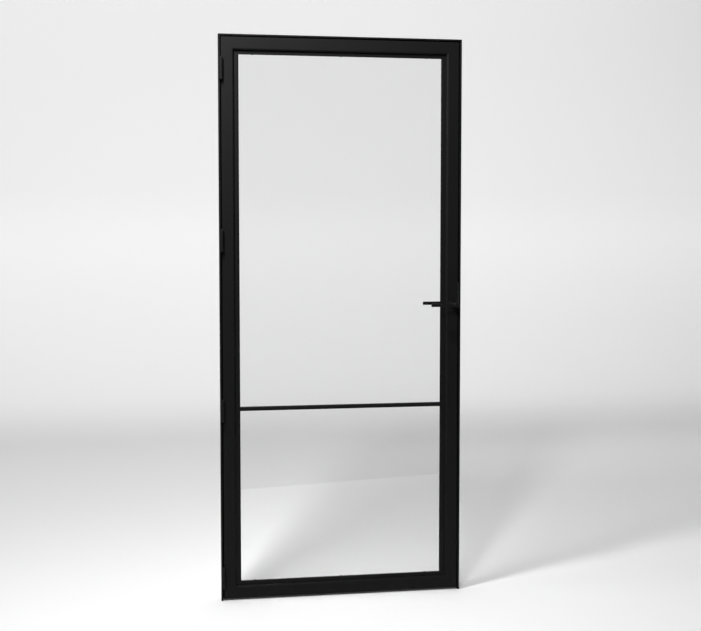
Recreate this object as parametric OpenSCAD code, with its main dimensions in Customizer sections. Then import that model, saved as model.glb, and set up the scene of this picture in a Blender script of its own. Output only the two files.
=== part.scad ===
// Single-leaf steel interior door with one glass pane, in its own three-sided steel frame.
// The front is -Y, the side that the leaf opens to, with the hinges at -X and the lock at +X.
// The origin is on the floor, midway across the frame and midway through the leaf.

/* [Frame] */
// Overall width of the frame
frame_w = 880; // [780:5:1080]
// Overall height of the frame above the floor
frame_h = 2015; // [1950:5:2415]
// Thickness of the frame's sheet, which is doubled at the front
frame_sheet = 3; // [2.5:0.25:3.5]
// Depth of the doubled front edge
hem_d = 12; // [8:0.5:16]
// Radius on the corners of the front edge
hem_r = 1; // [0.5:0.1:1.5]
// Width of the door stop inside the web
stop_w = 11; // [10.5:0.25:12]
// Thickness of the door stop
stop_t = 3; // [2:0.25:5]
// Radius on the edges of the door stop
stop_r = 0.6; // [0.2:0.1:0.9]
// Diameter of the wall fixing holes
fixing_d = 6.4; // [5:0.2:7]
// Diameter of the countersinks on the wall fixing holes
fixing_head_d = 10; // [9:0.2:10.4]
// Distance from the middle of the leaf's thickness to the wall fixing holes
fixing_y = 8; // [2:0.5:12]
// Height of the lowest wall fixing above the floor
fixing_low = 140; // [60:5:250]
// Distance from the highest wall fixing to the top of the frame
fixing_top_in = 135; // [60:5:250]
// Distance between the two wall fixings in the head
fixing_head_gap = 500; // [300:10:600]

/* [Leaf] */
// Gap between the leaf and the frame
leaf_gap = 4; // [3:0.5:5]
// Gap between the leaf and the floor
floor_gap = 7; // [4:0.5:15]
// Thickness of the leaf
leaf_t = 34; // [32:1:40]
// Distance of the leaf's face behind the front of the frame
leaf_recess = 2; // [0.5:0.25:4]
// Width of the stiles and rails
tube_w = 44.5; // [43:0.5:56]
// Wall thickness of the stiles and rails
tube_wall = 2; // [1.5:0.25:2.5]
// Radius of the front edge beside the glass
tube_r = 7; // [4:0.5:7.5]
// Radius of the other edges
edge_r = 1.2; // [0.6:0.1:1.8]

/* [Seal] */
// Space between the leaf's back and the door stop
seal_gap = 4; // [3:0.5:6]
// Width of the seal strip
seal_w = 7; // [5:0.5:7.5]
// Distance from the web to the seal strip
seal_in = 3; // [1:0.5:3]
// Radius on the nose of the seal strip
seal_r = 2.5; // [1:0.25:2.5]
// Gap between the seal strip and the leaf's back
seal_clear = 0.3; // [0.2:0.1:1]

/* [Glazing] */
// Thickness of the glass
glass_t = 8; // [6:0.5:9]
// Distance of the glass's middle behind the leaf's middle
glass_back = 3; // [0:0.25:3.5]
// Gap between the edge of the glass and the steel
glass_gap = 3; // [2:0.5:5]
// Thickness of the gaskets
gasket_t = 1.5; // [1:0.25:2]
// Width of the gaskets
gasket_w = 12; // [10:0.5:15]
// Width of the fixed front beads
bead_w = 15; // [13:0.5:18]
// Thickness of the fixed front beads
bead_t = 3.5; // [2.5:0.25:4]
// Width of the hollow rear beads
rear_bead_w = 12.5; // [10:0.5:16]
// Depth of the hollow rear beads
rear_bead_d = 8; // [7:0.5:8.5]
// Wall thickness of the hollow rear beads
rear_bead_wall = 1.5; // [1:0.25:2]
// Radius on the edges of the beads
bead_r = 0.8; // [0.4:0.1:0.9]
// Length of a setting block
block_l = 60; // [40:5:100]
// Distance from a setting block's middle to the corner of the glass
block_in = 150; // [100:10:250]

/* [Bead screws] */
// Shank diameter of the bead screws
bead_screw_d = 3.5; // [3:0.1:4]
// Head diameter of the bead screws
bead_screw_head_d = 6.5; // [5.5:0.1:7]
// Head height of the bead screws
bead_screw_head_h = 1.8; // [1:0.1:2.4]
// Width across the flats of the bead screws' sockets
bead_screw_key = 2.5; // [2:0.1:3]
// Depth of the bead screws' sockets
bead_screw_socket = 1.2; // [0.6:0.1:1.5]
// Distance that the bead screws reach past the steel wall
bead_screw_past = 3; // [1:0.5:5]
// Distance from the first bead screw to the corner of the opening
bead_screw_in = 70; // [50:5:90]
// Number of screws along an upright bead
upright_screws = 6; // [4:1:8]
// Number of screws along a level bead
level_screws = 3; // [2:1:4]

/* [Glazing bar] */
// Height of the glazing bar's middle above the floor
bar_z = 690.5; // [600:0.5:760]
// Height of the glazing bar
bar_h = 14; // [11:0.5:20]
// Thickness of the glazing bar
bar_t = 4.5; // [3:0.25:6]
// Bevel along the edges of the glazing bar
bar_bevel = 2; // [0.5:0.25:2.5]
// Height of the bonding tape behind the glazing bar
tape_h = 9; // [6:0.5:10.5]

/* [Hinges] */
// Length of a hinge
hinge_l = 80; // [60:5:110]
// Diameter of a hinge barrel
hinge_d = 12.5; // [11.5:0.25:14]
// Diameter of a hinge pin
pin_d = 8; // [6:0.25:9]
// Length of a hinge pin
pin_l = 56; // [40:2:58]
// Radius on the top of a hinge pin
pin_end_r = 1; // [0.25:0.25:2]
// Free space above a hinge pin
pin_room = 1; // [0.5:0.25:3]
// Thickness of the bearing washer
washer_t = 1; // [0.5:0.25:2]
// Distance of the bearing washer's rim inside the barrel
washer_in = 0.75; // [0.25:0.25:1]
// Radius on the ends of a hinge
hinge_end_r = 3; // [1:0.25:3.5]
// Gap between a hinge barrel and the front of the frame
hinge_clear = 0.3; // [0.3:0.1:1]
// Distance from the leaf's edge to the hinge axis
hinge_off = 1; // [0:0.25:2]
// Height of the lowest hinge's middle above the floor
hinge_low = 85; // [70:5:200]
// Distance from the top hinge's middle to the top of the frame
hinge_top_in = 120; // [80:5:250]
// Width of the weld pad on the leaf
pad_w = 5.3; // [4.5:0.1:7]
// Distance of a weld pad inside the edge that it is welded to
pad_edge = 0.3; // [0.1:0.1:0.6]
// Distance of a weld pad from the ends of its knuckle
pad_end = 4; // [2:0.5:6]

/* [Handle] */
// Height of the handle's axis above the floor
handle_z = 1058.5; // [950:0.5:1100]
// Distance from the leaf's edge to the handle's axis
backset = 21; // [20.5:0.25:23]
// Diameter of the lever
lever_d = 12.5; // [9:0.5:13]
// Distance from the handle's axis to the end of the lever
lever_l = 90; // [70:1:130]
// Distance from the leaf's face to the middle of the lever
lever_out = 50; // [40:1:60]
// Radius on the end of the lever
lever_end_r = 1.5; // [0.5:0.25:3]
// Diameter of the lever's hub
hub_d = 16; // [14.5:0.25:18]
// Distance of the hub's end past the middle of the lever
hub_over = 8; // [7:0.5:12]
// Radius on the end of the hub
hub_end_r = 4.5; // [2:0.25:6]
// Diameter of the spigot that turns in the rosette
spigot_d = 13; // [12.4:0.1:13.6]
// Diameter of the rosette
rosette_d = 25; // [22:0.5:25.5]
// Thickness of the rosette's flange
rosette_t = 3; // [2:0.25:4]
// Radius on the rim of the rosette
rosette_r = 1.2; // [0.5:0.1:1.6]
// Diameter of the rosette's bush in the stile
bush_d = 18; // [17:0.25:19]
// Depth of the rosette's bush behind the leaf's face
bush_in = 5; // [3:0.25:6]
// Width of the square spindle
spindle_s = 8; // [7:0.25:8.25]
// Depth of the spindle in each hub
spindle_in = 24; // [18:1:30]
// Diameter of the grub screws
grub_d = 5; // [4:0.25:5.5]
// Distance from the rosette to a grub screw
grub_out = 12; // [8:0.5:15]
// Distance of a grub screw's end inside the hub
grub_sunk = 0.5; // [0:0.1:1]
// Width across the flats of the grub screw's socket
grub_key = 2.5; // [2:0.1:2.8]

/* [Lock] */
// Thickness of the lock case
case_t = 14; // [13:0.5:16]
// Depth of the lock case behind the forend
case_deep = 30; // [29:0.5:36]
// Length of the lock case below the handle's axis
case_below = 38; // [25:1:45]
// Length of the lock case above the handle's axis
case_above = 62; // [50:1:70]
// Diameter of the follower
follower_d = 17; // [15:0.25:18]
// Distance from the handle's axis up to the bolt's middle
bolt_up = 35; // [30:1:40]
// Width of the bolt, through the leaf
bolt_w = 10; // [8:0.25:10.5]
// Height of the bolt
bolt_h = 16; // [12:0.5:20]
// Length of the bolt
bolt_l = 25; // [20:0.5:27]
// Radius on the nose of the bolt
bolt_r = 2; // [0.5:0.25:3]
// Width of the forend
forend_w = 18; // [16:0.5:24]
// Height of the forend
forend_h = 180; // [170:2:220]
// Thickness of the forend
forend_t = 3; // [2.5:0.25:4]
// Distance from the handle's axis up to the forend's middle
forend_up = 12; // [5:1:20]
// Corner radius of the forend and the strike plate
plate_r = 4; // [1:0.5:6]
// Thickness of the lugs that the forend is screwed to
lug_t = 4; // [3:0.5:6]
// Height of the lugs that the forend is screwed to
lug_h = 20; // [14:1:22]

/* [Strike] */
// Thickness of the strike plate
strike_t = 2; // [1:0.25:2.25]
// Width of the strike plate
strike_w = 18; // [16:0.5:22]
// Height of the strike plate
strike_h = 90; // [70:2:120]
// Wall thickness of the strike cup
cup_wall = 0.8; // [0.5:0.1:1]
// Room around the bolt in the strike cup
cup_room = 1; // [0.5:0.1:1.2]
// Thickness of the magnet in the strike cup
magnet_t = 1.7; // [1:0.1:2]
// Shank diameter of the forend and strike screws
plate_screw_d = 4; // [3:0.25:4.5]
// Head diameter of the forend and strike screws
plate_screw_head_d = 7; // [6:0.25:7.5]
// Width across the flats of the forend and strike screws' sockets
plate_screw_key = 2.5; // [2:0.1:3]
// Depth of the forend and strike screws' sockets
plate_screw_socket = 1.8; // [1:0.1:2.5]
// Distance from a plate's end to its screw
plate_screw_in = 10; // [8:0.5:11]

/* [Fits] */
// Radial clearance of parts that turn in each other
running_clear = 0.08; // [0.02:0.01:0.1]
// Clearance around the sliding bolt
slide_clear = 0.2; // [0.1:0.05:0.4]
// Clearance of parts that are seated in each other
seat_clear = 0.05; // [0.02:0.01:0.1]
// Clearance around plates and cups let into sheet steel
let_in_clear = 0.2; // [0.1:0.05:0.4]

/* [Hidden] */
$fn = 48;
// Distance that a cutting shape runs past what it cuts
past = 1;

// Frame and leaf outlines, measured from the middle of the door
half_w = frame_w / 2;
lip_w = 2 * frame_sheet;
web_x = half_w - lip_w;
leaf_x = web_x - leaf_gap;
leaf_top = frame_h - lip_w - leaf_gap;
frame_reach = lip_w + stop_w;
face_y = leaf_t / 2;
front_y = face_y + leaf_recess;
stop_y = face_y + seal_gap;
back_y = stop_y + stop_t;

// Opening in the leaf, and the layers of the glazing from its middle outwards
open_x = leaf_x - tube_w;
open_low = floor_gap + tube_w;
open_top = leaf_top - tube_w;
glass_y = glass_t / 2;
bead_y = glass_y + gasket_t;

// Hinge axis and the number of hinges above the lowest
hinge_r = hinge_d / 2;
hinge_x = -leaf_x - hinge_off;
hinge_y = -front_y - hinge_clear - hinge_r;
last_hinge = 3;
knuckle_l = (hinge_l - washer_t) / 2;

// Handle axis and the outer end of the rosette, from the middle of the leaf
spindle_x = leaf_x - backset;
rosette_y = face_y + rosette_t;
lever_y = face_y + lever_out;
hub_y = lever_y + hub_over;

// Lock and strike
forend_z = handle_z + forend_up;
bolt_z = handle_z + bolt_up;
lock_x = leaf_x - forend_t;

// Number of wall fixings in a jamb above the lowest
last_fixing = 3;

function hinge_z(i) = hinge_low + i * (frame_h - hinge_top_in - hinge_low) / last_hinge;
function fixing_z(i) = fixing_low + i * (frame_h - fixing_top_in - fixing_low) / last_fixing;
function upright_z(i) = open_low + bead_screw_in
    + i * (open_top - open_low - 2 * bead_screw_in) / (upright_screws - 1);
function level_x(i) = -open_x + bead_screw_in
    + i * 2 * (open_x - bead_screw_in) / (level_screws - 1);

steel_black = "#242628";
rubber_black = "#151617";
bare_steel = "#a9abad";
nylon_black = "#1b1c1d";

// Flat outline from corner a to corner b, each corner with its own radius, counter-clockwise from a
module rounded(a, b, radii) {
    corners = [a, [b[0], a[1]], b, [a[0], b[1]]];
    difference() {
        translate(a) square(b - a);
        for (k = [0:3]) {
            if (radii[k] > 0) {
                translate(corners[k]) rotate(90 * k) corner_waste(radii[k]);
            }
        }
    }
}

// What is taken off a square corner to leave it round
module corner_waste(r) {
    difference() {
        translate([-past, -past]) square(r + past);
        translate([r, r]) circle(r);
    }
}

// An outline in X and Z, made solid between two places on Y
module along_y(y0, y1) {
    translate([0, y1, 0]) rotate([90, 0, 0]) linear_extrude(y1 - y0) children();
}

// An outline in Y and Z, made solid between two places on X
module along_x(x0, x1) {
    translate([x0, 0, 0]) rotate([90, 0, 90]) linear_extrude(x1 - x0) children();
}

// An upright bar at -X on the edge of a rectangle, its ends cut at 45 degrees.
// Its section is given inwards from the edge and along Y. A standing bar has a square foot.
module mitred_upright(half, low, top, reach, standing) {
    foot = standing ? low : low + reach;
    inner_x = reach - half;
    intersection() {
        translate([-half, 0, low]) linear_extrude(top - low) children();
        along_y(-front_y - past, back_y + past)
            polygon([[-half, low], [inner_x, foot], [inner_x, top - reach], [-half, top]]);
    }
}

// A level bar on the bottom edge of a rectangle, its ends cut at 45 degrees
module mitred_level(half, low, reach) {
    inner_x = half - reach;
    intersection() {
        translate([half, 0, low]) rotate([0, -90, 0]) linear_extrude(2 * half) children();
        along_y(-front_y - past, back_y + past)
            polygon([[-half, low], [half, low], [inner_x, low + reach], [-inner_x, low + reach]]);
    }
}

// The bar on any side of a rectangle
module mitred_bar(side, half, low, top, reach, standing = false) {
    if (side == "hinge") mitred_upright(half, low, top, reach, standing) children();
    else if (side == "lock") mirror([1, 0, 0]) mitred_upright(half, low, top, reach, standing) children();
    else if (side == "bottom") mitred_level(half, low, reach) children();
    else translate([0, 0, low + top]) mirror([0, 0, 1]) mitred_level(half, low, reach) children();
}

// A bar on one side of the frame. The feet of the two upright ones are square.
module frame_member(side) {
    mitred_bar(side, half_w, 0, frame_h, frame_reach, true) children();
}

// Folded bar of the frame: the sheet is doubled at the front, and its single web runs back from there
module frame_bar(side) {
    frame_member(side) {
        rounded([0, -front_y], [lip_w, hem_d - front_y], [hem_r, hem_r, 0, 0]);
        translate([frame_sheet, hem_r - front_y]) square([frame_sheet, stop_y + front_y - hem_r]);
    }
}

// A countersunk hole for a wall screw, along +Z from the inner face of the web
module wall_fixing() {
    sink = (fixing_head_d - fixing_d) / 2;
    translate([0, 0, -past]) cylinder(h = lip_w + 2 * past, d = fixing_d);
    cylinder(h = sink, d1 = fixing_head_d, d2 = fixing_d);
    translate([0, 0, -past]) cylinder(h = past, d = fixing_head_d);
}

module jamb_fixings() {
    for (i = [0:last_fixing]) {
        translate([web_x, fixing_y, fixing_z(i)]) rotate([0, 90, 0]) wall_fixing();
    }
}

module hinge_jamb() {
    color(steel_black) difference() {
        frame_bar("hinge");
        mirror([1, 0, 0]) jamb_fixings();
    }
}

module lock_jamb() {
    color(steel_black) difference() {
        frame_bar("lock");
        jamb_fixings();
        strike_cup_block(let_in_clear);
        plate_screw_pair(web_x - past, half_w + past, bolt_z, strike_h, seat_clear);
    }
}

module frame_head() {
    color(steel_black) difference() {
        frame_bar("top");
        for (s = [-1, 1]) {
            translate([s * fixing_head_gap / 2, fixing_y, frame_h - lip_w]) wall_fixing();
        }
    }
}

// Flat bar welded to the back of the web, which the leaf shuts against
module door_stop(side) {
    color(steel_black)
        frame_member(side)
            rounded([frame_sheet, stop_y], [frame_reach, back_y], [0, stop_r, stop_r, stop_r]);
}

// Rubber strip with a rounded nose, stuck to the door stop
module seal(side) {
    first = lip_w + seal_in;
    color(rubber_black)
        frame_member(side)
            rounded([first, face_y + seal_clear], [first + seal_w, stop_y], [seal_r, seal_r, 0, 0]);
}

// Two straight screw shanks through a plate of the given height, from x0 to x1
module plate_screw_pair(x0, x1, middle_z, plate_h, clear) {
    for (s = [-1, 1]) {
        translate([x0, 0, middle_z + s * (plate_h / 2 - plate_screw_in)])
            rotate([0, 90, 0]) cylinder(h = x1 - x0, d = plate_screw_d + 2 * clear);
    }
}

// Two countersunk heads let into the face of a plate at x, tapering the way that turn points
module plate_head_pair(x, turn, middle_z, plate_h, clear) {
    sink = (plate_screw_head_d - plate_screw_d) / 2;
    for (s = [-1, 1]) {
        translate([x, 0, middle_z + s * (plate_h / 2 - plate_screw_in)])
            rotate([0, 90 * turn, 0])
                cylinder(h = sink, d1 = plate_screw_head_d + 2 * clear, d2 = plate_screw_d + 2 * clear);
    }
}

// Two countersunk screws in the face of a plate at x, with sockets, as far as x_end
module plate_screws(x, x_end, middle_z, plate_h) {
    turn = sign(x_end - x);
    color(bare_steel) difference() {
        union() {
            plate_screw_pair(min(x, x_end), max(x, x_end), middle_z, plate_h, 0);
            plate_head_pair(x, turn, middle_z, plate_h, 0);
        }
        for (s = [-1, 1]) {
            translate([x - turn * past, 0, middle_z + s * (plate_h / 2 - plate_screw_in)])
                rotate([0, 90 * turn, 0])
                    cylinder(h = plate_screw_socket + past, d = plate_screw_key / cos(30), $fn = 6);
        }
    }
}

// Outer block of the strike cup, larger by the given clearance
module strike_cup_block(clear) {
    half_y = bolt_w / 2 + cup_room + cup_wall + clear;
    half_z = bolt_h / 2 + cup_room + cup_wall + clear;
    translate([web_x - strike_t, -half_y, bolt_z - half_z])
        cube([half_w - web_x + strike_t, 2 * half_y, 2 * half_z]);
}

module strike_plate() {
    half_y = bolt_w / 2 + cup_room;
    half_z = bolt_h / 2 + cup_room;
    color(bare_steel) difference() {
        union() {
            along_x(web_x - strike_t, web_x)
                rounded([-strike_w / 2, bolt_z - strike_h / 2], [strike_w / 2, bolt_z + strike_h / 2],
                    [plate_r, plate_r, plate_r, plate_r]);
            strike_cup_block(0);
        }
        translate([web_x - strike_t - past, -half_y, bolt_z - half_z])
            cube([half_w - cup_wall - web_x + strike_t + past, 2 * half_y, 2 * half_z]);
        plate_screw_pair(web_x - strike_t - past, web_x + past, bolt_z, strike_h, seat_clear);
        plate_head_pair(web_x - strike_t, 1, bolt_z, strike_h, seat_clear);
    }
}

module strike_magnet() {
    half_y = bolt_w / 2 + cup_room - seat_clear;
    half_z = bolt_h / 2 + cup_room - seat_clear;
    color("#3b3c3e")
        translate([half_w - cup_wall - magnet_t, -half_y, bolt_z - half_z])
            cube([magnet_t, 2 * half_y, 2 * half_z]);
}

module strike_screws() {
    plate_screws(web_x - strike_t, half_w - seat_clear, bolt_z, strike_h);
}

// A knuckle's barrel standing on its rounded end
module barrel() {
    rotate_extrude() rounded([0, 0], [hinge_r, knuckle_l], [0, hinge_end_r, 0, 0]);
}

module hinge_frame_knuckle(i) {
    z0 = hinge_z(i) - hinge_l / 2;
    color(steel_black) difference() {
        union() {
            translate([hinge_x, hinge_y, z0]) barrel();
            translate([pad_edge - half_w, hinge_y, z0 + pad_end])
                cube([lip_w - 2 * pad_edge, -front_y - hinge_y, knuckle_l - 2 * pad_end]);
        }
        translate([hinge_x, hinge_y, hinge_z(i) - pin_l / 2])
            cylinder(h = pin_l, d = pin_d + 2 * seat_clear);
    }
}

module hinge_leaf_knuckle(i) {
    z1 = hinge_z(i) + hinge_l / 2;
    color(steel_black) difference() {
        union() {
            translate([hinge_x, hinge_y, z1]) mirror([0, 0, 1]) barrel();
            translate([pad_edge - leaf_x, hinge_y, z1 - knuckle_l + pad_end])
                cube([pad_w, -face_y - hinge_y, knuckle_l - 2 * pad_end]);
        }
        translate([hinge_x, hinge_y, hinge_z(i)])
            cylinder(h = pin_l / 2 + pin_room, d = pin_d + 2 * running_clear);
    }
}

module hinge_pin(i) {
    color(bare_steel)
        translate([hinge_x, hinge_y, hinge_z(i) - pin_l / 2])
            rotate_extrude() rounded([0, 0], [pin_d / 2, pin_l], [0, 0, pin_end_r, 0]);
}

module hinge_washer(i) {
    color(nylon_black)
        translate([hinge_x, hinge_y, hinge_z(i) - washer_t / 2]) difference() {
            cylinder(h = washer_t, r = hinge_r - washer_in);
            translate([0, 0, -past]) cylinder(h = washer_t + 2 * past, d = pin_d + 2 * running_clear);
        }
}

// Section of the leaf's stiles and rails: a closed tube with a large radius beside the glass at the front
module tube_section() {
    inner_r = tube_r - tube_wall;
    difference() {
        rounded([0, -face_y], [tube_w, face_y], [edge_r, tube_r, edge_r, edge_r]);
        rounded([tube_wall, tube_wall - face_y], [tube_w - tube_wall, face_y - tube_wall],
            [0, inner_r, 0, 0]);
    }
}

// A stile or rail, with the holes for the rear bead's screws in the wall beside the glass
module leaf_member(side) {
    difference() {
        mitred_bar(side, leaf_x, floor_gap, leaf_top, tube_w) tube_section();
        bead_screw_row(side, bead_screw_d + 2 * seat_clear, -past, tube_wall + past);
    }
}

module hinge_stile() {
    color(steel_black) leaf_member("hinge");
}

// The lock stile is open for the forend and the rosettes, and has two lugs for the forend's screws
module lock_stile() {
    lug_y = face_y - tube_wall / 2;
    color(steel_black) difference() {
        union() {
            leaf_member("lock");
            for (s = [-1, 1]) {
                translate([lock_x - lug_t, -lug_y, forend_z + s * (forend_h - lug_h) / 2 - lug_h / 2])
                    cube([lug_t, 2 * lug_y, lug_h]);
            }
        }
        along_x(lock_x, leaf_x + past)
            forend_outline(let_in_clear);
        translate([spindle_x, face_y + past, handle_z]) rotate([90, 0, 0])
            cylinder(h = leaf_t + 2 * past, d = bush_d + 2 * seat_clear);
        plate_screw_pair(lock_x - lug_t - past, lock_x + past, forend_z, forend_h, seat_clear);
    }
}

module top_rail() {
    color(steel_black) leaf_member("top");
}

module bottom_rail() {
    color(steel_black) leaf_member("bottom");
}

// The glazing is drawn about the middle of its glass, and moved back to its place in the leaf
module at_glass() {
    translate([0, glass_back, 0]) children();
}

// Flat bar that the glass is pressed against from the back
module front_bead(side) {
    color(steel_black)
        at_glass() mitred_bar(side, open_x, open_low, open_top, bead_w)
            rounded([0, -bead_y - bead_t], [bead_w, -bead_y], [0, bead_r, 0, 0]);
}

// Hollow bead, screwed to the stile or rail through both of its walls
module rear_bead(side) {
    w = rear_bead_wall;
    color(steel_black) difference() {
        at_glass() mitred_bar(side, open_x, open_low, open_top, rear_bead_w) difference() {
            rounded([0, bead_y], [rear_bead_w, bead_y + rear_bead_d], [0, 0, bead_r, bead_r]);
            translate([w, bead_y + w]) square([rear_bead_w - 2 * w, rear_bead_d - 2 * w]);
        }
        bead_screw_row(side, bead_screw_d + 2 * seat_clear, -rear_bead_w - past, past);
    }
}

// Cylinders at the places of one side's bead screws, from one distance to another outwards
// from the wall of the opening
module bead_screw_row(side, d, from, to) {
    y = glass_back + bead_y + rear_bead_d / 2;
    if (side == "hinge" || side == "lock") {
        for (i = [0:upright_screws - 1]) {
            mirror([side == "hinge" ? 1 : 0, 0, 0])
                translate([open_x + from, y, upright_z(i)]) rotate([0, 90, 0])
                    cylinder(h = to - from, d = d);
        }
    } else {
        for (i = [0:level_screws - 1]) {
            translate([level_x(i), y, side == "top" ? open_top + from : open_low - to])
                cylinder(h = to - from, d = d);
        }
    }
}

module bead_screws() {
    head = -rear_bead_w - bead_screw_head_h;
    color(steel_black)
        for (side = ["hinge", "lock", "top", "bottom"]) {
            bead_screw_row(side, bead_screw_d, -rear_bead_w, tube_wall + bead_screw_past);
            difference() {
                bead_screw_row(side, bead_screw_head_d, head, -rear_bead_w);
                bead_screw_row(side, bead_screw_key / cos(30), head - past,
                    head + bead_screw_socket, $fn = 6);
            }
        }
}

module glass_pane() {
    x = open_x - glass_gap;
    color([0.75, 0.8, 0.8, 0.35])
        at_glass() translate([-x, -glass_y, open_low + glass_gap])
            cube([2 * x, glass_t, open_top - open_low - 2 * glass_gap]);
}

// Rubber strip all round the opening, between the glass and the beads
module gasket() {
    color(rubber_black)
        along_y(glass_y, bead_y) difference() {
            translate([-open_x, open_low]) square([2 * open_x, open_top - open_low]);
            translate([gasket_w - open_x, open_low + gasket_w])
                square([2 * (open_x - gasket_w), open_top - open_low - 2 * gasket_w]);
        }
}

module front_gasket() {
    at_glass() mirror([0, 1, 0]) gasket();
}

module rear_gasket() {
    at_glass() gasket();
}

// Blocks that carry and centre the glass, two at each of its edges
module setting_blocks() {
    color(rubber_black) at_glass() {
        for (s = [-1, 1]) {
            for (z = [open_low, open_top - glass_gap]) {
                translate([s * (open_x - block_in) - block_l / 2, -glass_y, z])
                    cube([block_l, glass_t, glass_gap]);
            }
            for (z = [open_low + block_in, open_top - block_in]) {
                translate([s * (open_x - glass_gap / 2) - glass_gap / 2, -glass_y, z - block_l / 2])
                    cube([glass_gap, glass_t, block_l]);
            }
        }
    }
}

// Bevelled flat bar between two beads of the given width, bonded to the glass
module glazing_bar(beside_w) {
    half_l = open_x - beside_w - let_in_clear;
    half_h = bar_h / 2;
    outer_y = bead_y + bar_t;
    color(steel_black)
        along_x(-half_l, half_l)
            translate([0, bar_z])
                polygon([
                    [bead_y, -half_h],
                    [outer_y - bar_bevel, -half_h],
                    [outer_y, bar_bevel - half_h],
                    [outer_y, half_h - bar_bevel],
                    [outer_y - bar_bevel, half_h],
                    [bead_y, half_h]
                ]);
}

// Tape behind a glazing bar, as long as the bar and the gaskets let it be
module bar_tape(beside_w) {
    half_l = open_x - max(gasket_w, beside_w) - let_in_clear;
    color(rubber_black)
        translate([-half_l, glass_y, bar_z - tape_h / 2]) cube([2 * half_l, gasket_t, tape_h]);
}

module front_glazing_bar() {
    at_glass() mirror([0, 1, 0]) glazing_bar(bead_w);
}

module front_bar_tape() {
    at_glass() mirror([0, 1, 0]) bar_tape(bead_w);
}

module rear_glazing_bar() {
    at_glass() glazing_bar(rear_bead_w);
}

module rear_bar_tape() {
    at_glass() bar_tape(rear_bead_w);
}

// Outline of the forend in Y and Z, larger by the given clearance
module forend_outline(clear) {
    half_y = forend_w / 2 + clear;
    half_z = forend_h / 2 + clear;
    r = plate_r + clear;
    rounded([-half_y, forend_z - half_z], [half_y, forend_z + half_z], [r, r, r, r]);
}

// Channel that the bolt slides in
module bolt_channel() {
    half_y = bolt_w / 2 + slide_clear;
    half_z = bolt_h / 2 + slide_clear;
    translate([leaf_x - bolt_l - past, -half_y, bolt_z - half_z])
        cube([bolt_l + 2 * past, 2 * half_y, 2 * half_z]);
}

module lock_case() {
    color(bare_steel) difference() {
        translate([lock_x - case_deep, -case_t / 2, handle_z - case_below])
            cube([case_deep, case_t, case_below + case_above]);
        bolt_channel();
        translate([spindle_x, case_t / 2 + past, handle_z]) rotate([90, 0, 0])
            cylinder(h = case_t + 2 * past, d = follower_d + 2 * running_clear);
    }
}

module lock_forend() {
    color(bare_steel) difference() {
        along_x(lock_x, leaf_x) forend_outline(0);
        bolt_channel();
        plate_screw_pair(lock_x - past, leaf_x + past, forend_z, forend_h, seat_clear);
        plate_head_pair(leaf_x, -1, forend_z, forend_h, seat_clear);
    }
}

module forend_screws() {
    plate_screws(leaf_x, lock_x - lug_t - past, forend_z, forend_h);
}

// Flanged bush in the stile's face, which the lever's spigot turns in
module rosette() {
    color(steel_black)
        translate([spindle_x, 0, handle_z]) rotate([90, 0, 0]) difference() {
            union() {
                rotate_extrude() rounded([0, face_y], [rosette_d / 2, rosette_y], [0, 0, rosette_r, 0]);
                translate([0, 0, face_y - bush_in]) cylinder(h = bush_in + rosette_t / 2, d = bush_d);
            }
            translate([0, 0, face_y - bush_in - past])
                cylinder(h = bush_in + rosette_t + 2 * past, d = spigot_d + 2 * running_clear);
        }
}

module front_rosette() {
    rosette();
}

module rear_rosette() {
    mirror([0, 1, 0]) rosette();
}

// Round lever on a hub with a domed end, hollow for the spindle and its grub screw
module lever() {
    hole_s = spindle_s + 2 * seat_clear;
    hub_start = rosette_y + slide_clear;
    color(steel_black)
        translate([spindle_x, 0, handle_z]) rotate([90, 0, 0]) difference() {
            union() {
                rotate_extrude() rounded([0, hub_start], [hub_d / 2, hub_y], [0, 0, hub_end_r, 0]);
                translate([0, 0, face_y]) cylinder(h = hub_start - face_y + past, d = spigot_d);
                translate([0, 0, lever_y]) rotate([0, -90, 0])
                    rotate_extrude() rounded([0, 0], [lever_d / 2, lever_l], [0, 0, lever_end_r, 0]);
            }
            translate([-hole_s / 2, -hole_s / 2, face_y - past])
                cube([hole_s, hole_s, rosette_t + spindle_in + 2 * past]);
            translate([0, 0, rosette_y + grub_out]) rotate([90, 0, 0])
                cylinder(h = hub_d, d = grub_d + 2 * seat_clear);
        }
}

module front_lever() {
    lever();
}

module rear_lever() {
    mirror([0, 1, 0]) lever();
}

module lever_spindle() {
    half_l = rosette_y + spindle_in;
    color(bare_steel)
        translate([spindle_x - spindle_s / 2, -half_l, handle_z - spindle_s / 2])
            cube([spindle_s, 2 * half_l, spindle_s]);
}

// Set screws under the hubs, which clamp the levers to the spindle
module grub_screws() {
    length = (hub_d - spindle_s) / 2 - grub_sunk;
    color(bare_steel)
        for (s = [-1, 1]) {
            translate([spindle_x, s * (rosette_y + grub_out), handle_z - spindle_s / 2 - length])
                difference() {
                    cylinder(h = length, d = grub_d);
                    translate([0, 0, -past])
                        cylinder(h = length / 2 + past, d = grub_key / cos(30), $fn = 6);
                }
        }
}

module lock_follower() {
    hole_s = spindle_s + 2 * seat_clear;
    color(bare_steel)
        translate([spindle_x, 0, handle_z]) rotate([90, 0, 0]) difference() {
            cylinder(h = case_t, d = follower_d, center = true);
            cube([hole_s, hole_s, case_t + 2 * past], center = true);
        }
}

module latch_bolt() {
    color(bare_steel)
        translate([0, 0, bolt_z - bolt_h / 2]) linear_extrude(bolt_h)
            rounded([leaf_x - bolt_l, -bolt_w / 2], [leaf_x, bolt_w / 2], [0, bolt_r, bolt_r, 0]);
}

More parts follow.
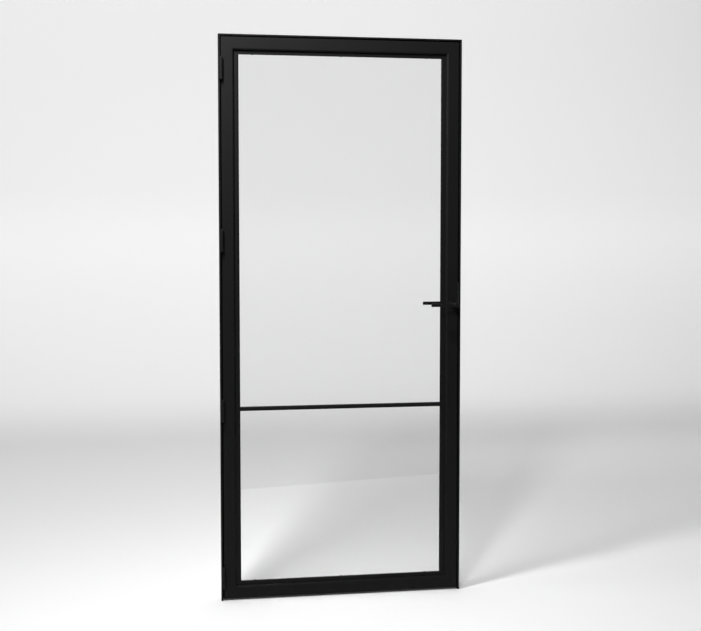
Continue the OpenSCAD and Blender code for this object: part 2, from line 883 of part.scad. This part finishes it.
hinge_jamb();
lock_jamb();
frame_head();
door_stop("hinge");  // hinge_side_stop
door_stop("lock");  // lock_side_stop
door_stop("top");  // head_stop
seal("hinge");  // hinge_side_seal
seal("lock");  // lock_side_seal
seal("top");  // head_seal
strike_plate();
strike_magnet();
strike_screws();
hinge_frame_knuckle(0);  // bottom_hinge_frame_knuckle
hinge_frame_knuckle(1);  // lower_hinge_frame_knuckle
hinge_frame_knuckle(2);  // upper_hinge_frame_knuckle
hinge_frame_knuckle(3);  // top_hinge_frame_knuckle
hinge_pin(0);  // bottom_hinge_pin
hinge_pin(1);  // lower_hinge_pin
hinge_pin(2);  // upper_hinge_pin
hinge_pin(3);  // top_hinge_pin
hinge_washer(0);  // bottom_hinge_washer
hinge_washer(1);  // lower_hinge_washer
hinge_washer(2);  // upper_hinge_washer
hinge_washer(3);  // top_hinge_washer
hinge_leaf_knuckle(0);  // bottom_hinge_leaf_knuckle
hinge_leaf_knuckle(1);  // lower_hinge_leaf_knuckle
hinge_leaf_knuckle(2);  // upper_hinge_leaf_knuckle
hinge_leaf_knuckle(3);  // top_hinge_leaf_knuckle
hinge_stile();
lock_stile();
top_rail();
bottom_rail();
front_bead("hinge");  // front_bead_hinge_side
front_bead("lock");  // front_bead_lock_side
front_bead("top");  // front_bead_top
front_bead("bottom");  // front_bead_bottom
rear_bead("hinge");  // rear_bead_hinge_side
rear_bead("lock");  // rear_bead_lock_side
rear_bead("top");  // rear_bead_top
rear_bead("bottom");  // rear_bead_bottom
bead_screws();
glass_pane();
front_gasket();
rear_gasket();
setting_blocks();
front_glazing_bar();
front_bar_tape();
rear_glazing_bar();
rear_bar_tape();
lock_case();
lock_forend();
forend_screws();
front_rosette();
rear_rosette();
front_lever();
rear_lever();
lever_spindle();
grub_screws();
lock_follower();
latch_bolt();
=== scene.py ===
import math

import bmesh
import bpy
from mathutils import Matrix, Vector


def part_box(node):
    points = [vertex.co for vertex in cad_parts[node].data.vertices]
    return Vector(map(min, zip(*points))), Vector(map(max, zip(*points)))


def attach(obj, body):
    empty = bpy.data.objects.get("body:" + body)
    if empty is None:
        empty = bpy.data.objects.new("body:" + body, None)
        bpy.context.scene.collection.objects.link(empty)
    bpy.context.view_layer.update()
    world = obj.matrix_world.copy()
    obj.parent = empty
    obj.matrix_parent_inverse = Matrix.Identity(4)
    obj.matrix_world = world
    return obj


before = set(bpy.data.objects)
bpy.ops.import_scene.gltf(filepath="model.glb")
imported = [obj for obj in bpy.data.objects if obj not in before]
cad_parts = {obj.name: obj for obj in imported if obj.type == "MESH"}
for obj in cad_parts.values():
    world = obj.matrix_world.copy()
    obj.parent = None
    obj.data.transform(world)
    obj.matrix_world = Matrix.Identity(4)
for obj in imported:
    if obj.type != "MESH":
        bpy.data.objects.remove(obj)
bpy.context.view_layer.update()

# Frame bars: two jambs and a head of folded steel, mitred at the corners, with flat stop bars behind them.
# All are welded and ground flush, then powder coated in a fine black structure that leaves a dull sheen
# and a softened grain.


class Socket:
    """An output in a material's nodes, with Python's operators for the maths that is done on it."""

    def __init__(self, tree, output=None):
        self.tree = tree
        self.output = output

    def node(self, kind, settings, sockets, output=0):
        """Add a node with its settings, then the values or links of its sockets, and give one output."""
        added = self.tree.nodes.new(kind)
        for name, value in settings.items():
            if name == "stops":
                added.color_ramp.interpolation = "B_SPLINE"
                stops = added.color_ramp.elements
                while len(stops) < len(value):
                    stops.new(1.0)
                for stop, (place, level) in zip(stops, value):
                    stop.position = place
                    stop.color = (level, level, level, 1.0)
            else:
                setattr(added, name, value)
        for name, value in sockets.items():
            if isinstance(value, Socket):
                self.tree.links.new(value.output, added.inputs[name])
            else:
                added.inputs[name].default_value = value
        return Socket(self.tree, added.outputs[output] if added.outputs else None)

    def maths(self, operation, first, second):
        return self.node("ShaderNodeMath", {"operation": operation}, {0: first, 1: second})

    def __add__(self, other):
        return self.maths("ADD", self, other)

    __radd__ = __add__

    def __mul__(self, other):
        return self.maths("MULTIPLY", self, other)

    __rmul__ = __mul__


def new_finish(name):
    """A material with no shader yet, a Socket to add its nodes from, and the place on a piece in metres."""
    material = bpy.data.materials.new(name)
    material.use_nodes = True
    material.node_tree.nodes.clear()
    nodes = Socket(material.node_tree)
    return material, nodes, nodes.node("ShaderNodeTexCoord", {}, {}, "Object")


def grain(nodes, place, size, detail):
    """Cloudy noise from 0 to 1, with spots of about the given size in metres and so many finer layers."""
    return nodes.node("ShaderNodeTexNoise", {"noise_dimensions": "3D"}, {
        "Vector": place, "Scale": 1.0 / size, "Detail": detail, "Roughness": 0.55})


def blend(nodes, factor, first, second):
    """A colour between two others. A Mix node has its two colours at sockets 6 and 7 and their mix at 2."""
    return nodes.node("ShaderNodeMix", {"data_type": "RGBA"}, {0: factor, 6: first, 7: second}, 2)


def colour(red, green, blue):
    """A solid colour as a socket takes it."""
    return (red, green, blue, 1.0)


def relief(nodes, height, strength, depth):
    """Normals of a surface with bumps of the given depth in metres."""
    return nodes.node("ShaderNodeBump", {}, {"Strength": strength, "Distance": depth, "Height": height})


def principled(nodes, sockets):
    return nodes.node("ShaderNodeBsdfPrincipled", {}, sockets)


def show(nodes, shader):
    nodes.node("ShaderNodeOutputMaterial", {}, {"Surface": shader})


def give(material, *names):
    """Put a finish on CAD nodes."""
    for name in names:
        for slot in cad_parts[name].material_slots:
            slot.material = material


structure_coat, nodes, place = new_finish("structure_coat")
flow = grain(nodes, place, size=0.22, detail=3.0)
peel = grain(nodes, place, size=0.0022, detail=2.0)
speck = grain(nodes, place, size=0.0006, detail=1.0)
deep_black = colour(0.0070, 0.0071, 0.0072)
worn_black = colour(0.0100, 0.0101, 0.0102)
show(nodes, principled(nodes, {
    "Base Color": blend(nodes, flow * 0.5 + speck * 0.5, deep_black, worn_black),
    "Roughness": 0.42 + flow * 0.06 + speck * 0.1,
    "Specular IOR Level": 0.10,
    "Normal": relief(nodes, peel * 0.6 + speck * 0.4, strength=0.35, depth=0.00012),
}))
give(structure_coat, "hinge_jamb", "lock_jamb", "frame_head")
give(structure_coat, "hinge_side_stop", "lock_side_stop", "head_stop")

# Seals: strips of black foam rubber with a rounded nose, stuck to the door stops.
# The skin is matt, with faint pores and a little grey bloom.

foam_rubber, nodes, place = new_finish("foam_rubber")
pores = grain(nodes, place, size=0.0009, detail=3.0)
bloom = grain(nodes, place, size=0.05, detail=4.0)
clean_foam = colour(0.010, 0.010, 0.011)
grey_foam = colour(0.026, 0.026, 0.027)
show(nodes, principled(nodes, {
    "Base Color": blend(nodes, bloom, clean_foam, grey_foam),
    "Roughness": 0.74 + pores * 0.18,
    "Specular IOR Level": 0.3,
    "Normal": relief(nodes, pores, strength=0.5, depth=0.0002),
}))
give(foam_rubber, "hinge_side_seal", "lock_side_seal", "head_seal")

# Strike: a pressed plate of satin stainless steel with a cup for the latch, brushed along its height.
# Two countersunk socket screws hold it, and a dark ferrite magnet lies in the bottom of the cup.


def stretch(nodes, place, scale):
    """Places for a grain that is drawn out along the axes whose scale is small."""
    return nodes.node("ShaderNodeMapping", {"vector_type": "POINT"}, {"Vector": place, "Scale": scale})


satin_steel, nodes, place = new_finish("satin_steel")
brush = grain(nodes, stretch(nodes, place, (1.0, 1.0, 0.02)), size=0.0004, detail=3.0)
haze = grain(nodes, place, size=0.03, detail=3.0)
dull_steel = colour(0.50, 0.505, 0.51)
bright_steel = colour(0.68, 0.685, 0.69)
show(nodes, principled(nodes, {
    "Base Color": blend(nodes, brush * 0.6 + haze * 0.4, dull_steel, bright_steel),
    "Metallic": 1.0,
    "Roughness": 0.25 + brush * 0.14 + haze * 0.06,
    "Normal": relief(nodes, brush, strength=0.25, depth=0.00005),
}))
give(satin_steel, "strike_plate", "strike_screws")

ferrite, nodes, place = new_finish("ferrite")
sinter = grain(nodes, place, size=0.0008, detail=4.0)
dark_ferrite = colour(0.045, 0.045, 0.048)
pale_ferrite = colour(0.095, 0.095, 0.10)
show(nodes, principled(nodes, {
    "Base Color": blend(nodes, sinter, dark_ferrite, pale_ferrite),
    "Metallic": 0.5,
    "Roughness": 0.45 + sinter * 0.25,
    "Normal": relief(nodes, sinter, strength=0.4, depth=0.0001),
}))
give(ferrite, "strike_magnet")

# Hinges: four turned steel barrels in two halves, each half welded on by its pad and coated with the rest.
# A bright pin stays in the lower half, and a washer of black nylon between the halves carries the leaf.

hinges = ("bottom", "lower", "upper", "top")
for hinge in hinges:
    give(structure_coat, f"{hinge}_hinge_frame_knuckle", f"{hinge}_hinge_leaf_knuckle")
    give(satin_steel, f"{hinge}_hinge_pin")

black_nylon, nodes, place = new_finish("black_nylon")
turning = grain(nodes, stretch(nodes, place, (0.05, 0.05, 1.0)), size=0.0002, detail=2.0)
wear = grain(nodes, place, size=0.003, detail=3.0)
new_nylon = colour(0.006, 0.006, 0.0062)
worn_nylon = colour(0.014, 0.014, 0.0142)
show(nodes, principled(nodes, {
    "Base Color": blend(nodes, wear, new_nylon, worn_nylon),
    "Roughness": 0.42 + turning * 0.12 + wear * 0.1,
    "Specular IOR Level": 0.35,
    "Normal": relief(nodes, turning, strength=0.2, depth=0.00005),
}))
give(black_nylon, *[f"{hinge}_hinge_washer" for hinge in hinges])

# Leaf: two stiles and two rails of drawn steel tube with a large radius beside the glass.
# They are mitred, welded, ground flush and coated in one piece with the fixed beads at the front.

sides = ("hinge_side", "lock_side", "top", "bottom")
give(structure_coat, "hinge_stile", "lock_stile", "top_rail", "bottom_rail")
give(structure_coat, *[f"front_bead_{side}" for side in sides])

# Glass: one pane of clear toughened glass, with the faint waviness that the rollers of the furnace leave.
# It stands on rubber blocks between two rubber gaskets. In its shadow it lets through the share of light
# that the grey of the shadow shows.


def ray(nodes, fact):
    """A fact about the ray of light that meets a surface."""
    return nodes.node("ShaderNodeLightPath", {}, {}, fact)


def either(nodes, choice, first, second):
    """The first shader where the choice is 0, and the second where it is 1."""
    return nodes.node("ShaderNodeMixShader", {}, {0: choice, 1: first, 2: second})


def grey(level):
    return colour(level, level, level)


shadow_light = 0.36
clear_glass, nodes, place = new_finish("clear_glass")
wave = grain(nodes, stretch(nodes, place, (0.2, 1.0, 1.0)), size=0.35, detail=0.0)
cloud = grain(nodes, place, size=0.6, detail=1.0)
deep_tint = colour(0.945, 0.948, 0.947)
light_tint = colour(0.955, 0.957, 0.956)
pane = principled(nodes, {
    "Base Color": blend(nodes, cloud, deep_tint, light_tint),
    "Roughness": 0.0,
    "IOR": 1.52,
    "Transmission Weight": 1.0,
    "Normal": relief(nodes, wave, strength=0.05, depth=0.0004),
})
shade = nodes.node("ShaderNodeBsdfTransparent", {}, {"Color": grey(shadow_light)})
show(nodes, either(nodes, ray(nodes, "Is Shadow Ray"), pane, shade))
give(clear_glass, "glass_pane")
give(foam_rubber, "front_gasket", "rear_gasket", "setting_blocks")

# Glazing strips: wedges of smooth black rubber, pushed in between front beads and pane along the stiles.
# Each is as thick as the gasket under its bead, thins to a round nose on the glass, and stops at the bar.


def add_mesh(name, built):
    """Put what was built into the scene as an object."""
    mesh = bpy.data.meshes.new(name)
    built.to_mesh(mesh)
    built.free()
    added = bpy.data.objects.new(name, mesh)
    bpy.context.collection.objects.link(added)
    return added


def quarter_turn(step):
    """The sine and cosine of each angle in a quarter turn, by steps of so many degrees."""
    return [(math.sin(math.radians(angle)), math.cos(math.radians(angle))) for angle in range(0, 91, step)]


strip_shown, strip_tucked, strip_play = 0.0034, 0.0025, 0.00005
nose_step = 15
bead_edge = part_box("front_bead_lock_side")[0].x
opening_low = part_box("front_bead_bottom")[1].z
opening_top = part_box("front_bead_top")[0].z
tape_low, tape_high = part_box("front_bar_tape")
strip_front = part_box("front_gasket")[0].y + strip_play
strip_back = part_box("glass_pane")[0].y - strip_play
below_bar = (opening_low - strip_tucked, tape_low.z - strip_play)
above_bar = (tape_high.z + strip_play, opening_top + strip_tucked)

section = [(bead_edge + strip_tucked, strip_back), (bead_edge + strip_tucked, strip_front)]
flat_faces = len(section) + 1
for sine, cosine in quarter_turn(nose_step):
    section.append((bead_edge - strip_shown * sine, strip_back + (strip_front - strip_back) * cosine))
built = bmesh.new()
for side in (-1.0, 1.0):
    for span in (below_bar, above_bar):
        ends = [[built.verts.new((side * x, y, z)) for x, y in section] for z in span]
        lower, upper = ends
        for k in range(len(section)):
            face = built.faces.new((lower[k - 1], lower[k], upper[k], upper[k - 1]))
            face.smooth = k >= flat_faces
        for end in ends:
            built.faces.new(end)
bmesh.ops.recalc_face_normals(built, faces=built.faces)
strips = add_mesh("glazing_strips", built)

smooth_rubber, nodes, place = new_finish("smooth_rubber")
skin = grain(nodes, place, size=0.004, detail=3.0)
dark_rubber = colour(0.0040, 0.0040, 0.0041)
pale_rubber = colour(0.0065, 0.0065, 0.0066)
show(nodes, principled(nodes, {
    "Base Color": blend(nodes, skin, dark_rubber, pale_rubber),
    "Roughness": 0.55 + skin * 0.12,
    "Specular IOR Level": 0.10,
    "Normal": relief(nodes, skin, strength=0.2, depth=0.0001),
}))
strips.data.materials.append(smooth_rubber)
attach(strips, "leaf")

# Rear beads: hollow rectangular tubes that hold the glass from the back, screwed to the stiles and rails.
# Beads and socket screws are coated like the leaf.

give(structure_coat, *[f"rear_bead_{side}" for side in sides])
give(structure_coat, "bead_screws")

# Glazing bars: flat steel with bevelled edges, one on each side of the pane and coated like the leaf.
# Each is bonded to the glass with black tape as thick as the gaskets.

give(structure_coat, "front_glazing_bar", "rear_glazing_bar")
give(foam_rubber, "front_bar_tape", "rear_bar_tape")

# Lock: a small case in the lock stile behind a stainless forend, which two socket screws hold.
# The square spindle turns the follower in the case, and the latch slides out above it.

give(satin_steel, "lock_case", "lock_forend", "forend_screws")
give(satin_steel, "lock_follower", "lever_spindle", "latch_bolt")

# Handle: a turned hub with a round lever on each side, in a small flanged bush that serves as its rosette.
# It is lacquered smoother than the door, in a satin black, and a grub screw in each hub clamps the spindle.

satin_lacquer, nodes, place = new_finish("satin_lacquer")
touch = grain(nodes, place, size=0.02, detail=4.0)
fine = grain(nodes, place, size=0.0008, detail=1.0)
clean_lacquer = colour(0.0060, 0.0060, 0.0061)
touched_lacquer = colour(0.0085, 0.0085, 0.0086)
show(nodes, principled(nodes, {
    "Base Color": blend(nodes, touch, clean_lacquer, touched_lacquer),
    "Roughness": 0.34 + touch * 0.08,
    "Specular IOR Level": 0.12,
    "Normal": relief(nodes, fine, strength=0.2, depth=0.00005),
}))
give(satin_lacquer, "front_lever", "rear_lever", "front_rosette", "rear_rosette")
give(satin_steel, "grub_screws")

# Studio: one white sweep, a floor that curves up into the wall behind the door and has painted light up it.
# Its front edge runs askew about two metres before the door, where the glass mirrors it as a faint line.
# Seen directly or in the pane it is white, but it throws back less light, and from behind it is see-through.

floor_back, cove_radius, wall_top, half_width = 3.6, 1.6, 6.0, 7.0
edge_before, edge_skew = 2.0264, 0.2155
cove_step = 5
profile = []
for sine, cosine in quarter_turn(cove_step):
    profile.append((floor_back + cove_radius * sine, cove_radius * (1.0 - cosine)))
profile.append((floor_back + cove_radius, wall_top))
built = bmesh.new()
rows = []
for x in (-half_width, half_width):
    front_edge = (-edge_before - edge_skew * x, 0.0)
    rows.append([built.verts.new((x, y, z)) for y, z in [front_edge] + profile])
left, right = rows
for k in range(len(profile)):
    built.faces.new((left[k], right[k], right[k + 1], left[k + 1])).smooth = True
sweep = add_mesh("studio_sweep", built)

seen_white, thrown_white = 0.89, 0.4
# Painted light: as seen, the wall glows faint in the cove, brightest near 1.3 m high and dimmer above.
painted_glow_top = 3.2
painted_glow_stops = [(0.0, 0.0), (0.05, 0.19), (0.15, 0.22), (0.3, 0.32),
              (0.42, 0.40), (0.6, 0.36), (0.8, 0.30), (1.0, 0.24)]
white_sweep, nodes, place = new_finish("white_sweep")
in_glass = nodes.maths("MAXIMUM", ray(nodes, "Is Glossy Ray"), ray(nodes, "Is Transmission Ray"))
seen = nodes.maths("MAXIMUM", ray(nodes, "Is Camera Ray"), in_glass)
height = nodes.node("ShaderNodeSeparateXYZ", {}, {"Vector": place}, "Z")
painted_glow = nodes.node("ShaderNodeValToRGB", {"stops": painted_glow_stops}, {"Fac": height * (1.0 / painted_glow_top)})
paint = principled(nodes, {
    "Base Color": blend(nodes, seen, grey(thrown_white), grey(seen_white)),
    "Roughness": 0.9,
    "Specular IOR Level": 0.0,
    "Emission Color": blend(nodes, seen, grey(0.0), painted_glow),
    "Emission Strength": 1.0,
})
from_behind = nodes.node("ShaderNodeNewGeometry", {}, {}, "Backfacing")
nothing = nodes.node("ShaderNodeBsdfTransparent", {}, {})
show(nodes, either(nodes, from_behind, paint, nothing))
sweep.data.materials.append(white_sweep)

# Studio light: a small soft box close before the door, high on the hinge side, a far one at the front left
# and a wide one over the sweep. The room before the door is dark, as its image in the pane shows,
# but what is seen past the sweep, also straight through the pane, is as pale as the wall.


def soft_box(name, place, aim, wide, high, watts):
    """A rectangular lamp that looks from its place at its aim."""
    lamp = bpy.data.lights.new(name, "AREA")
    lamp.shape = "RECTANGLE"
    lamp.size = wide
    lamp.size_y = high
    lamp.energy = watts
    box = bpy.data.objects.new(name, lamp)
    box.location = place
    box.rotation_euler = (Vector(aim) - Vector(place)).to_track_quat("-Z", "Y").to_euler()
    bpy.context.collection.objects.link(box)


soft_box("key_box", place=(-0.78, -0.74, 2.68), aim=(0.7, -0.85, 0.0), wide=0.30, high=0.22, watts=47.0)
soft_box("front_box", place=(-2.7, -6.4, 5.4), aim=(0.0, 0.0, 1.0), wide=0.8, high=0.8, watts=272.0)
soft_box("top_box", place=(0.0, 2.9, 5.5), aim=(0.0, 3.1, 0.0), wide=9.0, high=4.0, watts=194.0)

dark_room, pale_room = 0.05, 0.80
straight_bounces = 3.5
world = bpy.data.worlds.new("studio_room")
bpy.context.scene.world = world
world.use_nodes = True
world.node_tree.nodes.clear()
nodes = Socket(world.node_tree)
straight = nodes.maths("LESS_THAN", ray(nodes, "Ray Depth"), straight_bounces)
through = ray(nodes, "Is Transmission Ray") * straight
seen = nodes.maths("MAXIMUM", ray(nodes, "Is Camera Ray"), through)
dark = nodes.node("ShaderNodeBackground", {}, {"Color": grey(dark_room), "Strength": 1.0})
pale = nodes.node("ShaderNodeBackground", {}, {"Color": grey(pale_room), "Strength": 1.0})
nodes.node("ShaderNodeOutputWorld", {}, {"Surface": either(nodes, seen, dark, pale)})

# Camera: at breast height, almost five metres from the door and a little to its hinge side.
# It looks slightly down and to the right, through a short telephoto lens.

lens_length, sensor_width = 68.82, 36.0
look_down, look_right = 3.898, 10.528
camera_data = bpy.data.cameras.new("photo_camera")
camera_data.sensor_fit = "HORIZONTAL"
camera_data.sensor_width = sensor_width
camera_data.lens = lens_length
camera = bpy.data.objects.new("photo_camera", camera_data)
camera.location = (-0.8495, -4.7547, 1.3504)
camera.rotation_euler = (math.radians(90.0 - look_down), 0.0, math.radians(-look_right))
bpy.context.collection.objects.link(camera)
bpy.context.scene.camera = camera
bpy.context.scene.view_settings.view_transform = "Standard"
